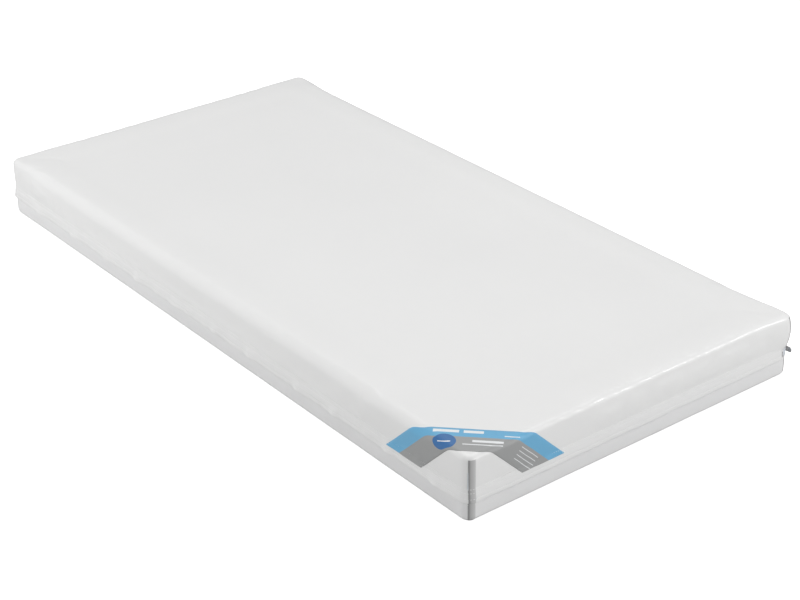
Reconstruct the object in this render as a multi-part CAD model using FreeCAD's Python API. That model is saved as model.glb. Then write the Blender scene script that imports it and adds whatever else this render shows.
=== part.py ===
import FreeCAD, Part
import math
import os

# Cot-size pressure relief mattress: a glued foam core in a waterproof cover of two trays,
# joined by a coil zip that runs round all four sides under a storm flap.
#
# Millimetres, +Z up. The origin is the middle of the underside. X runs along the mattress
# and Y across it. Front is -Y, back is +Y, left is -X and right is +X. The zip closes at
# the right end of the back side, where its slider is parked.
#
# A place on a side wall is given by "out", its distance outwards from the cover's outer
# face, so the cloth lies from out = -CLOTH to out = 0.

# Overall size
LENGTH = 1200.0
WIDTH = 600.0
HEIGHT = 100.0

# Cover
CLOTH = 1.0
CORNER_ROUND = 14.0
TOP_ROUND = 12.0
BOTTOM_ROUND = 8.0

# Zip
ZIP_LEVEL = 38.0
HEM_TO_ZIP = 6.5
COIL_WIDTH = 2.8
COIL_THICK = 2.0
ROW_GAP = 1.6
TAPE_THICK = 0.6
TAPE_ON_CLOTH = 8.0
TAPE_EDGE_INSET = 0.3
STOP_LENGTH = 2.0
STOP_WALL = 0.3

# Slider and its puller
SLIDER_LENGTH = 13.0
SLIDER_WIDTH = 9.6
SLIDER_TAIL_WIDTH = 7.4
PLATE_THICK = 1.0
FLANGE_WIDTH = 0.9
WEDGE_LENGTH = 6.0
BRIDGE_LENGTH = 8.0
BRIDGE_WIDTH = 2.2
BRIDGE_WALL = 1.3
BRIDGE_BAR = 0.9
PULLER_THICK = 1.0
PULLER_WIDTH = 8.0
PULLER_LENGTH = 25.0
PULLER_ARM = 1.5
PULLER_TIP_ROUND = 3.0
PULLER_EYE_LENGTH = 6.0

# Storm flap
FLAP_THICK = 0.9
FLAP_SEWN_ABOVE_HEM = 8.0
FLAP_DROP = 7.0
FLAP_JOG = 1.4
FLAP_END_INSET = 3.0

# Seam tapes over the cover's corners
SEAM_TAPE_WIDTH = 10.5
SEAM_TAPE_THICK = 0.5

# Label band laid across the right front corner
LABEL_THICK = 0.4
LABEL_NEAR = 26.0
LABEL_FAR = 79.0
LABEL_ABOVE_FLAP = 0.6

# Foam core
BOLSTER_WIDTH = 70.0
CORE_THICK = 45.0
TOPPER_THICK = 22.5
CELL_PITCH = 75.0
CELL_CUT = 4.0
CELL_DEPTH = 28.0

# Clearances
MOVING_GAP = 0.3
PULLER_GAP = 0.4
STOP_GAP = 0.5
CORE_EASE = 2.2
CORE_TOP_GAP = 0.5

# Levels that follow from the sizes above
LOWER_HEM = ZIP_LEVEL - HEM_TO_ZIP
UPPER_HEM = ZIP_LEVEL + HEM_TO_ZIP
FLAP_TOP = UPPER_HEM + FLAP_SEWN_ABOVE_HEM
FLAP_BOTTOM = ZIP_LEVEL - FLAP_DROP
CORE_OUT = -CLOTH - CORE_EASE
CORE_TOP = HEIGHT - CLOTH - CORE_TOP_GAP
TOPPER_BOTTOM = CORE_TOP - TOPPER_THICK
INSERT_BOTTOM = TOPPER_BOTTOM - CORE_THICK
COIL_OUT = COIL_THICK - CLOTH
TAPE_OUT = -CLOTH - TAPE_THICK

# Ends of the zip, on either side of the right back corner
ZIP_END_X = LENGTH / 2 - CORNER_ROUND
ZIP_END_Y = WIDTH / 2 - CORNER_ROUND
STOP_FACE_X = ZIP_END_X - STOP_LENGTH
SLIDER_X = STOP_FACE_X - STOP_GAP - SLIDER_LENGTH / 2

# Slider levels, outwards from the back wall
FRONT_PLATE = COIL_OUT + MOVING_GAP
FRONT_FACE = FRONT_PLATE + PLATE_THICK
BACK_PLATE = TAPE_OUT - MOVING_GAP
PIVOT_OUT = FRONT_FACE + PULLER_GAP + PULLER_THICK / 2
BRIDGE_INSIDE = PIVOT_OUT + PULLER_THICK / 2 + MOVING_GAP

REACH = 5.0
TINY = 1e-4


def box(x, y, z):
    """A box between two values on each axis, each given as (low, high)."""
    size = [high - low for low, high in (x, y, z)]
    return Part.makeBox(*size, FreeCAD.Vector(x[0], y[0], z[0]))


def prism(points, along):
    """The flat polygon through the points, pushed along a vector."""
    corners = [FreeCAD.Vector(*point) for point in points]
    face = Part.Face(Part.makePolygon(corners + corners[:1]))
    return face.extrude(FreeCAD.Vector(*along))


def outline(out, z):
    """The mattress's plan outline at height z, moved outwards by out, with arcs for corners."""
    half_x = LENGTH / 2 + out
    half_y = WIDTH / 2 + out
    radius = CORNER_ROUND + out
    edges = []
    previous = None
    for turn, (sign_x, sign_y) in enumerate([(1, 1), (-1, 1), (-1, -1), (1, -1)]):
        centre = FreeCAD.Vector(sign_x * (half_x - radius), sign_y * (half_y - radius), z)
        start, middle, end = [
            centre + FreeCAD.Vector(radius * math.cos(angle), radius * math.sin(angle), 0)
            for angle in [math.pi / 4 * (2 * turn + step) for step in range(3)]
        ]
        if previous:
            edges.append(Part.LineSegment(previous, start).toShape())
        edges.append(Part.Arc(start, middle, end).toShape())
        previous = end
    edges.append(Part.LineSegment(previous, edges[0].Vertexes[0].Point).toShape())
    return Part.Wire(edges)


def block(out, z_low, z_high, top_round=0.0, bottom_round=0.0):
    """A solid of the plan outline between two heights, with its top or bottom edge rounded."""
    solid = Part.Face(outline(out, z_low)).extrude(FreeCAD.Vector(0, 0, z_high - z_low))
    for level, radius in ((z_high, top_round), (z_low, bottom_round)):
        if radius > 0:
            rim = [e for e in solid.Edges if all(abs(v.Z - level) < TINY for v in e.Vertexes)]
            solid = solid.makeFillet(radius, rim)
    return solid


def band(inside, outside, z_low, z_high):
    """A ring between two offsets of the outline and two heights."""
    return block(outside, z_low, z_high).cut(block(inside, z_low - 1, z_high + 1))


def zip_mouth(grow=0.0):
    """The space round the right back corner, between the zip's two ends."""
    x = (ZIP_END_X - grow, LENGTH / 2 + REACH)
    y = (ZIP_END_Y - grow, WIDTH / 2 + REACH)
    return box(x, y, (-1, HEIGHT + 1))


def on_back(x, out, z):
    """A box on the back wall: its span along X, outwards from the wall, and up."""
    return box(x, (WIDTH / 2 + out[0], WIDTH / 2 + out[1]), z)


def on_right(y, out, z):
    """A box on the right end wall: its span along Y, outwards from the wall, and up."""
    return box((LENGTH / 2 + out[0], LENGTH / 2 + out[1]), y, z)


# Cover


def cover_top():
    """The upper tray: one sheet over the lying surface, folded down all four sides."""
    outside = block(0, UPPER_HEM, HEIGHT, top_round=TOP_ROUND)
    inside = block(-CLOTH, UPPER_HEM - 1, HEIGHT - CLOTH, top_round=TOP_ROUND - CLOTH)
    return outside.cut(inside)


def cover_base():
    """The lower tray, which holds the core and lies on the cot's base."""
    outside = block(0, 0, LOWER_HEM, bottom_round=BOTTOM_ROUND)
    inside = block(-CLOTH, CLOTH, LOWER_HEM + 1, bottom_round=BOTTOM_ROUND - CLOTH)
    return outside.cut(inside)


def storm_flap():
    """The flap over the zip: sewn flat to the upper tray, then standing clear of the coil."""
    hang = (COIL_OUT + MOVING_GAP, COIL_OUT + MOVING_GAP + FLAP_THICK)
    jog_low = UPPER_HEM - FLAP_JOG
    ring = band(0, FLAP_THICK, jog_low, FLAP_TOP)
    ring = ring.fuse(band(0, hang[1], jog_low, UPPER_HEM))
    ring = ring.fuse(band(hang[0], hang[1], FLAP_BOTTOM, UPPER_HEM))
    end = WIDTH / 2 - CORNER_ROUND - FLAP_END_INSET
    reach = LENGTH / 2 + REACH
    three_sides = box((-reach, reach), (-WIDTH / 2 - REACH, end), (0, HEIGHT))
    return ring.common(three_sides).removeSplitter()


def corner_tape(sign_x, sign_y, z_low, z_high):
    """A seam tape over one rounded corner of a tray."""
    half = SEAM_TAPE_WIDTH / 2
    strip = Part.makeBox(CORNER_ROUND + REACH, SEAM_TAPE_WIDTH, HEIGHT, FreeCAD.Vector(0, -half, 0))
    turn = math.degrees(math.atan2(sign_y, sign_x))
    strip.rotate(FreeCAD.Vector(0, 0, 0), FreeCAD.Vector(0, 0, 1), turn)
    centre_x = sign_x * (LENGTH / 2 - CORNER_ROUND)
    centre_y = sign_y * (WIDTH / 2 - CORNER_ROUND)
    strip.translate(FreeCAD.Vector(centre_x, centre_y, 0))
    return band(0, SEAM_TAPE_THICK, z_low, z_high).common(strip)


def corner_label():
    """The label band: a strip at 45 degrees over the right front corner and down both walls."""
    skin = block(LABEL_THICK, UPPER_HEM, HEIGHT + LABEL_THICK, top_round=TOP_ROUND + LABEL_THICK)
    skin = skin.cut(block(0, UPPER_HEM - 1, HEIGHT, top_round=TOP_ROUND))
    near = LABEL_NEAR * math.sqrt(2)
    far = LABEL_FAR * math.sqrt(2)
    deep = HEIGHT - FLAP_TOP - LABEL_ABOVE_FLAP
    right = LENGTH / 2
    front = -WIDTH / 2
    # A round edge is shorter than a square one, so the strip's top part starts further in.
    saved = (2 - math.pi / 2) * TOP_ROUND
    front_zone = prism(
        [
            (right - 2 * far, front - REACH, HEIGHT + REACH),
            (right - 2 * far, front - REACH, HEIGHT - deep),
            (right - 2 * far, front + deep, HEIGHT - deep),
        ],
        (2 * far + REACH, 0, 0),
    )
    right_zone = prism(
        [
            (right + REACH, front - REACH, HEIGHT + REACH),
            (right + REACH, front - REACH, HEIGHT - deep),
            (right - deep, front - REACH, HEIGHT - deep),
        ],
        (0, 2 * far + REACH, 0),
    )
    front_strip = prism(
        [
            (right - near + REACH, front - REACH, HEIGHT + REACH),
            (right - far + REACH, front - REACH, HEIGHT + REACH),
            (right - far - deep, front - REACH, HEIGHT - deep),
            (right - near - deep, front - REACH, HEIGHT - deep),
        ],
        (0, 2 * REACH + TOP_ROUND, 0),
    )
    right_strip = prism(
        [
            (right + REACH, front + near - REACH, HEIGHT + REACH),
            (right + REACH, front + far - REACH, HEIGHT + REACH),
            (right + REACH, front + far + deep, HEIGHT - deep),
            (right + REACH, front + near + deep, HEIGHT - deep),
        ],
        (-2 * REACH - TOP_ROUND, 0, 0),
    )
    top_strip = prism(
        [
            (right - near - saved - REACH, front - REACH, HEIGHT - TOP_ROUND),
            (right - far - saved - REACH, front - REACH, HEIGHT - TOP_ROUND),
            (right + REACH, front + far + saved + REACH, HEIGHT - TOP_ROUND),
            (right + REACH, front + near + saved + REACH, HEIGHT - TOP_ROUND),
        ],
        (0, 0, TOP_ROUND + REACH),
    )
    top_part = skin.common(top_strip).cut(front_zone).cut(right_zone)
    front_part = skin.common(front_strip).common(front_zone)
    right_part = skin.common(right_strip).common(right_zone)
    return top_part.fuse([front_part, right_part])


# Zip


def zip_tape(z_low, z_high):
    """One half of the zip's woven tape, inside the cover's walls."""
    return band(TAPE_OUT, -CLOTH, z_low, z_high).cut(zip_mouth())


def zip_coil(z_low, z_high):
    """One row of the zip's coil, as the bar that its turns fill."""
    return band(-CLOTH, COIL_OUT, z_low, z_high).cut(zip_mouth(grow=STOP_LENGTH))


def zip_stops(z_low, z_high):
    """The crimped stops at both ends of one coil row."""
    out = (-CLOTH, COIL_OUT + STOP_WALL)
    z = (z_low - STOP_WALL, z_high + STOP_WALL)
    return Part.Compound(
        [
            on_back((STOP_FACE_X, ZIP_END_X), out, z),
            on_right((ZIP_END_Y - STOP_LENGTH, ZIP_END_Y), out, z),
        ]
    )


def zip_end_tab():
    """The cloth tab that closes the corner between the zip's two ends."""
    low = LOWER_HEM - TAPE_ON_CLOTH
    return band(TAPE_OUT, -CLOTH, low, UPPER_HEM - MOVING_GAP).common(zip_mouth())


def slider_outline(out):
    """A slider plate's outline at one level: a wide shoulder that narrows to the tail."""
    tail = SLIDER_X - SLIDER_LENGTH / 2
    nose = SLIDER_X + SLIDER_LENGTH / 2
    return [
        (tail, WIDTH / 2 + out, ZIP_LEVEL - SLIDER_TAIL_WIDTH / 2),
        (SLIDER_X, WIDTH / 2 + out, ZIP_LEVEL - SLIDER_WIDTH / 2),
        (nose, WIDTH / 2 + out, ZIP_LEVEL - SLIDER_WIDTH / 2),
        (nose, WIDTH / 2 + out, ZIP_LEVEL + SLIDER_WIDTH / 2),
        (SLIDER_X, WIDTH / 2 + out, ZIP_LEVEL + SLIDER_WIDTH / 2),
        (tail, WIDTH / 2 + out, ZIP_LEVEL + SLIDER_TAIL_WIDTH / 2),
    ]


def slider_body():
    """Two plates joined by the wedge between the rows, and a flange under the lower row."""
    front = prism(slider_outline(FRONT_PLATE), (0, PLATE_THICK, 0))
    back = prism(slider_outline(BACK_PLATE), (0, -PLATE_THICK, 0))
    nose = SLIDER_X + SLIDER_LENGTH / 2
    wedge_half = ROW_GAP / 2 - MOVING_GAP
    wedge = on_back(
        (nose - WEDGE_LENGTH, nose),
        (BACK_PLATE, FRONT_PLATE),
        (ZIP_LEVEL - wedge_half, ZIP_LEVEL + wedge_half),
    )
    row_bottom = ZIP_LEVEL - ROW_GAP / 2 - COIL_WIDTH
    flange = on_back(
        (SLIDER_X, nose),
        (-CLOTH + MOVING_GAP, FRONT_FACE),
        (row_bottom - MOVING_GAP - FLANGE_WIDTH, row_bottom - MOVING_GAP),
    )
    return front.fuse([back, wedge, flange]).removeSplitter()


def slider_bridge():
    """The arch on the slider's face that holds the puller."""
    half = BRIDGE_LENGTH / 2
    z = (ZIP_LEVEL - BRIDGE_WIDTH / 2, ZIP_LEVEL + BRIDGE_WIDTH / 2)
    arch = on_back((SLIDER_X - half, SLIDER_X + half), (FRONT_FACE, BRIDGE_INSIDE + BRIDGE_BAR), z)
    inner = half - BRIDGE_WALL
    return arch.cut(on_back((SLIDER_X - inner, SLIDER_X + inner), (FRONT_FACE, BRIDGE_INSIDE), z))


def puller_tab():
    """The pull tab: a flat tongue with an eye, whose pin passes under the bridge."""
    half = PULLER_WIDTH / 2
    out = (PIVOT_OUT - PULLER_THICK / 2, PIVOT_OUT + PULLER_THICK / 2)
    tab = on_back((SLIDER_X, SLIDER_X + PULLER_LENGTH), out, (ZIP_LEVEL - half, ZIP_LEVEL + half))
    tip = [
        e
        for e in tab.Edges
        if all(abs(v.X - SLIDER_X - PULLER_LENGTH) < TINY for v in e.Vertexes)
        and abs(e.Vertexes[0].Y - e.Vertexes[1].Y) > TINY
    ]
    tab = tab.makeFillet(PULLER_TIP_ROUND, tip)
    eye_half = half - PULLER_ARM
    eye = (ZIP_LEVEL - eye_half, ZIP_LEVEL + eye_half)
    tab = tab.cut(on_back((SLIDER_X - 1, SLIDER_X + PULLER_EYE_LENGTH), out, eye))
    pin = Part.makeCylinder(
        PULLER_THICK / 2,
        PULLER_WIDTH,
        FreeCAD.Vector(SLIDER_X, WIDTH / 2 + PIVOT_OUT, ZIP_LEVEL - half),
        FreeCAD.Vector(0, 0, 1),
    )
    return tab.fuse(pin).removeSplitter()


# Foam core


def foam_base_slab():
    """The firm slab under everything, which takes up what the other layers leave."""
    return block(CORE_OUT, CLOTH, INSERT_BOTTOM, bottom_round=BOTTOM_ROUND - CLOTH)


def foam_topper():
    """The soft visco-elastic layer under the lying surface."""
    return block(CORE_OUT, TOPPER_BOTTOM, CORE_TOP, top_round=TOP_ROUND - CLOTH)


def foam_long_bolster(sign_y):
    """A firm edge along one long side, over the core's full length."""
    outer = sign_y * WIDTH / 2
    inner = sign_y * (WIDTH / 2 + CORE_OUT - BOLSTER_WIDTH)
    side = box((-LENGTH / 2, LENGTH / 2), sorted((inner, outer)), (0, HEIGHT))
    return block(CORE_OUT, INSERT_BOTTOM, TOPPER_BOTTOM).common(side)


def foam_end_bolster(sign_x):
    """A firm edge across one end, between the long ones."""
    outer = sign_x * (LENGTH / 2 + CORE_OUT)
    inner = sign_x * (LENGTH / 2 + CORE_OUT - BOLSTER_WIDTH)
    half_y = WIDTH / 2 + CORE_OUT - BOLSTER_WIDTH
    return box(sorted((inner, outer)), (-half_y, half_y), (INSERT_BOTTOM, TOPPER_BOTTOM))


def foam_cell_insert():
    """The pressure relief insert: a slab whose top is cut into free-standing cells."""
    half_x = LENGTH / 2 + CORE_OUT - BOLSTER_WIDTH
    half_y = WIDTH / 2 + CORE_OUT - BOLSTER_WIDTH
    slab = box((-half_x, half_x), (-half_y, half_y), (INSERT_BOTTOM, TOPPER_BOTTOM))
    depth = (TOPPER_BOTTOM - CELL_DEPTH, TOPPER_BOTTOM)
    cuts = []
    for half, across in ((half_x, False), (half_y, True)):
        cells = round(2 * half / CELL_PITCH)
        for cell in range(1, cells):
            middle = -half + cell * 2 * half / cells
            slot = (middle - CELL_CUT / 2, middle + CELL_CUT / 2)
            if across:
                cuts.append(box((-half_x, half_x), slot, depth))
            else:
                cuts.append(box(slot, (-half_y, half_y), depth))
    return slab.cut(cuts)


def build():
    """Every piece of the mattress, by node name."""
    lower_row = (ZIP_LEVEL - ROW_GAP / 2 - COIL_WIDTH, ZIP_LEVEL - ROW_GAP / 2)
    upper_row = (ZIP_LEVEL + ROW_GAP / 2, ZIP_LEVEL + ROW_GAP / 2 + COIL_WIDTH)
    pieces = {
        "cover_top": cover_top(),
        "cover_base": cover_base(),
        "storm_flap": storm_flap(),
        "corner_label": corner_label(),
        "zip_tape_upper": zip_tape(upper_row[0] + TAPE_EDGE_INSET, UPPER_HEM + TAPE_ON_CLOTH),
        "zip_tape_lower": zip_tape(LOWER_HEM - TAPE_ON_CLOTH, lower_row[1] - TAPE_EDGE_INSET),
        "zip_coil_upper": zip_coil(*upper_row),
        "zip_coil_lower": zip_coil(*lower_row),
        "zip_stops_upper": zip_stops(*upper_row),
        "zip_stops_lower": zip_stops(*lower_row),
        "zip_end_tab": zip_end_tab(),
        "slider_body": slider_body(),
        "slider_bridge": slider_bridge(),
        "puller_tab": puller_tab(),
        "foam_base_slab": foam_base_slab(),
        "foam_cell_insert": foam_cell_insert(),
        "foam_topper": foam_topper(),
        "foam_bolster_front": foam_long_bolster(-1),
        "foam_bolster_back": foam_long_bolster(1),
        "foam_bolster_left": foam_end_bolster(-1),
        "foam_bolster_right": foam_end_bolster(1),
    }
    for end, sign_x in (("left", -1), ("right", 1)):
        for side, sign_y in (("front", -1), ("back", 1)):
            upper = corner_tape(sign_x, sign_y, FLAP_TOP, HEIGHT - TOP_ROUND)
            lower = corner_tape(sign_x, sign_y, BOTTOM_ROUND, LOWER_HEM)
            pieces[f"corner_tape_upper_{end}_{side}"] = upper
            pieces[f"corner_tape_lower_{end}_{side}"] = lower
    return pieces


os.makedirs("parts", exist_ok=True)
for name, shape in build().items():
    print(f"{name}: {len(shape.Solids)} solid(s), {shape.Volume / 1000:.2f} cm3")
    shape.exportStep(f"parts/{name}.step")
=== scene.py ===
import math

import bmesh
import bpy
import numpy as np
from mathutils import Euler, Matrix, Vector


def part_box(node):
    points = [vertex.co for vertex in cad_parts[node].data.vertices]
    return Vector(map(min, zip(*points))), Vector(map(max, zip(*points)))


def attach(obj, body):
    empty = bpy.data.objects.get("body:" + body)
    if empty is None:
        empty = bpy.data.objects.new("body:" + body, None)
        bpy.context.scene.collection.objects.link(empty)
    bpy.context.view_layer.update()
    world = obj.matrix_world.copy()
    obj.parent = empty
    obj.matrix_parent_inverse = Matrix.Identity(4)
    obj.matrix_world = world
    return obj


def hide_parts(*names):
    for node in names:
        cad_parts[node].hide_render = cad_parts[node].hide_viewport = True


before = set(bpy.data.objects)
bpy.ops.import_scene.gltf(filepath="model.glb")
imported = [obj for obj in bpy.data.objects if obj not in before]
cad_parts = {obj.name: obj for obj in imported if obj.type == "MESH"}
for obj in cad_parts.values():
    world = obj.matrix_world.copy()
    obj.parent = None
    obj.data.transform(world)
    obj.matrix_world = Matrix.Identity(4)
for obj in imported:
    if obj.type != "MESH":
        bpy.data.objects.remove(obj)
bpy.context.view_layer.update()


# ---- Foam base slab --------------------------------------------------------------------
# The firm slab at the bottom of the core: open-cell polyurethane foam, cut from a block with
# a wire and glued to the layers above. It lies on the lower cover's floor.

MM = 0.001
half_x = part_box("cover_top")[1].x
half_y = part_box("cover_top")[1].y
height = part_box("cover_top")[1].z
CORNER = 14 * MM
RUN_STEPS_X = 196
RUN_STEPS_Y = 96
TURN_STEPS = 8
RING_REACH = -45 * MM
run_x = 2 * (half_x - CORNER)
run_y = 2 * (half_y - CORNER)
turn = math.pi / 2 * CORNER
around = 2 * (run_x + run_y + 2 * turn)
stretches = np.array([run_x, turn, run_y, turn, run_x, turn, run_y, turn])
stretch_starts = np.concatenate([[0], np.cumsum(stretches)[:-1]])


def steps_around():
    """Distances along the outline: even steps on each straight side and round each corner."""
    counts = [RUN_STEPS_X, TURN_STEPS, RUN_STEPS_Y, TURN_STEPS] * 2
    parts = [
        start + length * np.arange(count) / count
        for start, length, count in zip(stretch_starts, stretches, counts)
    ]
    return np.concatenate(parts)


def outline(along, out):
    """The plan outline, offset outwards by out, and its outward direction.

    It starts where the back side leaves the right back corner and runs by the left, front and
    right sides. A side is its start corner's centre, plus its outward direction times the
    corner radius and the offset, plus its own direction times the distance run. A corner is
    its centre plus a turning direction times the same radius. Once an inward offset has used
    the radius up, the corner stays a point and the sides get shorter.
    """
    along, out = np.broadcast_arrays(np.asarray(along, float) % around, out)
    index = np.searchsorted(stretch_starts, along, side="right") - 1
    local = along - stretch_starts[index]
    side = index // 2
    turning = index % 2 == 1
    angle = math.pi / 2 * (side + 1) + np.where(turning, local / CORNER, 0)
    away = np.stack([np.cos(angle), np.sin(angle)], axis=-1)
    ahead = np.stack([-away[..., 1], away[..., 0]], axis=-1)
    signs = np.array([(1, 1), (-1, 1), (-1, -1), (1, -1)], float)
    sign = signs[(side + turning) % 4]
    centre = sign * np.array([half_x - CORNER, half_y - CORNER])
    radius = np.maximum(CORNER + out, 0)[..., None]
    spent = np.minimum(CORNER + out, 0)[..., None]
    length = np.where(side % 2 == 0, run_x, run_y)[..., None]
    run = local[..., None] * (1 + 2 * spent / length) - spent
    straight = centre + away * (radius + spent) + ahead * run
    rounded = centre + away * radius + sign * spent
    return np.where(turning[..., None], rounded, straight), away


def ripple(along, spacing, seed):
    """An uneven wave about 1 high: six sines with random phases, whose wavelengths are spread
    about the given spacing and fit a whole number of times round the outline."""
    random = np.random.default_rng(seed)
    total = np.zeros_like(along, dtype=float)
    for _ in range(6):
        turns = round(around / spacing * random.uniform(0.6, 1.5))
        total += np.sin(2 * math.pi * turns * along / around + random.uniform(0, 2 * math.pi))
    return total / 3


def join(name, *grids):
    """One smooth mesh from grids of points. Rows and columns make quads, and points that
    meet are joined, which also closes a grid's ends and poles."""
    vertices, faces, start = [], [], 0
    for points in grids:
        rows, columns = points.shape[:2]
        index = start + np.arange(rows * columns).reshape(rows, columns)
        quads = np.stack([index[:-1, :-1], index[:-1, 1:], index[1:, 1:], index[1:, :-1]], axis=-1)
        vertices.append(points.reshape(-1, 3))
        faces.append(quads.reshape(-1, 4))
        start += rows * columns
    mesh = bpy.data.meshes.new(name)
    mesh.from_pydata(np.concatenate(vertices).tolist(), [], np.concatenate(faces).tolist())
    shape = bmesh.new()
    shape.from_mesh(mesh)
    bmesh.ops.remove_doubles(shape, verts=shape.verts, dist=0.02 * MM)
    bmesh.ops.dissolve_degenerate(shape, edges=shape.edges, dist=0.02 * MM)
    shape.to_mesh(mesh)
    shape.free()
    mesh.polygons.foreach_set("use_smooth", np.ones(len(mesh.polygons), bool))
    piece = bpy.data.objects.new(name, mesh)
    bpy.context.collection.objects.link(piece)
    return piece


def at_height(place, z):
    """Points in space, from their places in plan and their heights."""
    return np.concatenate([place, np.broadcast_to(z, place.shape[:-1])[..., None]], axis=-1)


def ring(section_out, section_z):
    """A grid round the whole outline: a row for each point of a section, given as its offset
    outwards and its height. The first column is repeated, so that the ring closes."""
    place, _ = outline(steps_around()[None, :], section_out[:, None])
    points = at_height(place, section_z[:, None])
    return np.concatenate([points, points[:, :1]], axis=1)


def middle(inset, level, upwards=True):
    """The flat grid inside the ring at that offset, whose points meet the ring's. level is
    its height, a number or a function of x and y."""
    x = np.linspace(-1, 1, RUN_STEPS_X + 1) * (half_x + inset)
    y = np.linspace(-1, 1, RUN_STEPS_Y + 1) * (half_y + inset)
    x, y = np.meshgrid(x, y)
    z = level(x, y) if callable(level) else np.full_like(x, level)
    points = np.stack([x, y, z], axis=-1)
    return points if upwards else points[::-1]


def quarter(radius, steps, first=0.0, last=90.0):
    """Cosines and sines of an arc, times its radius."""
    angle = np.radians(np.linspace(first, last, steps))
    return radius * np.cos(angle), radius * np.sin(angle)


CUT_DEPTH = 0.25 * MM
CUT_SPACING = 0.11
CUT_FADE = 6 * MM


def foam_block(name, out, low, high, low_round, high_round, seed):
    """A block of foam with the mattress's outline. Its section runs in along the underside,
    round the lower edge, up the side and round the upper edge, and each height on the side
    is moved in or out a little by a wave, as a wire leaves it."""
    cos_low, sin_low = quarter(low_round, 6, -90, 0)
    cos_high, sin_high = quarter(high_round, 6, 0, 90)
    wall = np.linspace(low + low_round, high - high_round, 6)[1:-1]
    edges_out = (out - low_round + cos_low, np.full_like(wall, out), out - high_round + cos_high)
    edges_z = (low + low_round + sin_low, wall, high - high_round + sin_high)
    section_out = np.concatenate([[RING_REACH], *edges_out, [RING_REACH]])
    section_z = np.concatenate([[low], *edges_z, [high]])
    along = np.concatenate([steps_around(), [0]])
    cut = CUT_DEPTH * ripple(along, CUT_SPACING, seed)
    side = ring(section_out, section_z)
    _, away = outline(along, out)
    inside = np.clip(1 - np.abs(section_out - out) / CUT_FADE, 0, 1)
    side[..., :2] += (inside[:, None] * cut[None, :])[..., None] * away
    return join(name, side, middle(RING_REACH, high), middle(RING_REACH, low, upwards=False))


def new_group(name, inputs, outputs):
    """An empty shader node group with named sockets, as (kind, name, value) for each input
    and (kind, name) for each output. Returns the tree and its input and output nodes."""
    tree = bpy.data.node_groups.new(name, "ShaderNodeTree")
    for kind, label, value in inputs:
        socket = tree.interface.new_socket(name=label, in_out="INPUT", socket_type=f"NodeSocket{kind}")
        if value is not None:
            socket.default_value = value
    for kind, label in outputs:
        tree.interface.new_socket(name=label, in_out="OUTPUT", socket_type=f"NodeSocket{kind}")
    return tree, tree.nodes.new("NodeGroupInput"), tree.nodes.new("NodeGroupOutput")


def math_node(tree, operation, *values):
    """A Math node with numbers or sockets for its inputs. Returns its output."""
    node = tree.nodes.new("ShaderNodeMath")
    node.operation = operation
    for socket, value in zip(node.inputs, values):
        if isinstance(value, (int, float)):
            socket.default_value = value
        else:
            tree.links.new(value, socket)
    return node.outputs[0]


def noise_node(tree, vector, scale, detail=2.0):
    """A Noise Texture's value at a vector."""
    node = tree.nodes.new("ShaderNodeTexNoise")
    node.inputs["Scale"].default_value = scale
    node.inputs["Detail"].default_value = detail
    tree.links.new(vector, node.inputs["Vector"])
    return node.outputs["Fac"]


def mix_node(tree, factor, low, high, blend="MIX"):
    """A Mix node for colours. The factor is a number or a socket, and so is each colour, of
    three numbers or a socket. Returns its colour."""
    node = tree.nodes.new("ShaderNodeMix")
    node.data_type = "RGBA"
    node.blend_type = blend
    colours = [socket for socket in node.inputs if socket.type == "RGBA"]
    for socket, value in zip([node.inputs["Factor"], *colours], [factor, low, high]):
        if isinstance(value, float):
            socket.default_value = value
        elif isinstance(value, tuple):
            socket.default_value = (*value, 1)
        else:
            tree.links.new(value, socket)
    return next(socket for socket in node.outputs if socket.type == "RGBA")


def tint(tree, shader, value, dark, light):
    """Gives the shader a base colour between two colours, by a value."""
    tree.links.new(mix_node(tree, value, dark, light), shader.inputs["Base Color"])


def new_material(name, roughness, sheen=0.0):
    """A material with a Principled BSDF. Returns it, its tree, the shader and the piece's
    Object coordinates."""
    material = bpy.data.materials.new(name)
    material.use_nodes = True
    tree = material.node_tree
    shader = tree.nodes["Principled BSDF"]
    shader.inputs["Roughness"].default_value = roughness
    shader.inputs["Sheen Weight"].default_value = sheen
    place = tree.nodes.new("ShaderNodeTexCoord").outputs["Object"]
    return material, tree, shader, place


def place_group(tree, group, place, **values):
    """Puts a node group in a material, with the place and its own values. Returns the node."""
    node = tree.nodes.new("ShaderNodeGroup")
    node.node_tree = group
    tree.links.new(place, node.inputs["Place"])
    for label, value in values.items():
        node.inputs[label].default_value = value
    return node


def bump(tree, shader, value, depth):
    """Feeds a height, times a depth in metres, to the shader's normal through a Bump node."""
    node = tree.nodes.new("ShaderNodeBump")
    node.inputs["Distance"].default_value = depth
    tree.links.new(value, node.inputs["Height"])
    tree.links.new(node.outputs["Normal"], shader.inputs["Normal"])


foam_cells, cells_in, cells_out = new_group(
    "Foam cells",
    [("Vector", "Place", None), ("Float", "Cells per metre", 600.0)],
    [("Float", "Height"), ("Float", "Tone")],
)
pores = foam_cells.nodes.new("ShaderNodeTexVoronoi")
foam_cells.links.new(cells_in.outputs["Place"], pores.inputs["Vector"])
foam_cells.links.new(cells_in.outputs["Cells per metre"], pores.inputs["Scale"])
cell_wall = math_node(foam_cells, "MULTIPLY", pores.outputs["Distance"], 1.4)
patches = noise_node(foam_cells, cells_in.outputs["Place"], 9.0, 3.0)
speckle = math_node(foam_cells, "MULTIPLY", pores.outputs["Distance"], 0.5)
speckled = math_node(foam_cells, "MULTIPLY_ADD", patches, 0.6, speckle)
foam_cells.links.new(cell_wall, cells_out.inputs["Height"])
foam_cells.links.new(speckled, cells_out.inputs["Tone"])


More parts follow.
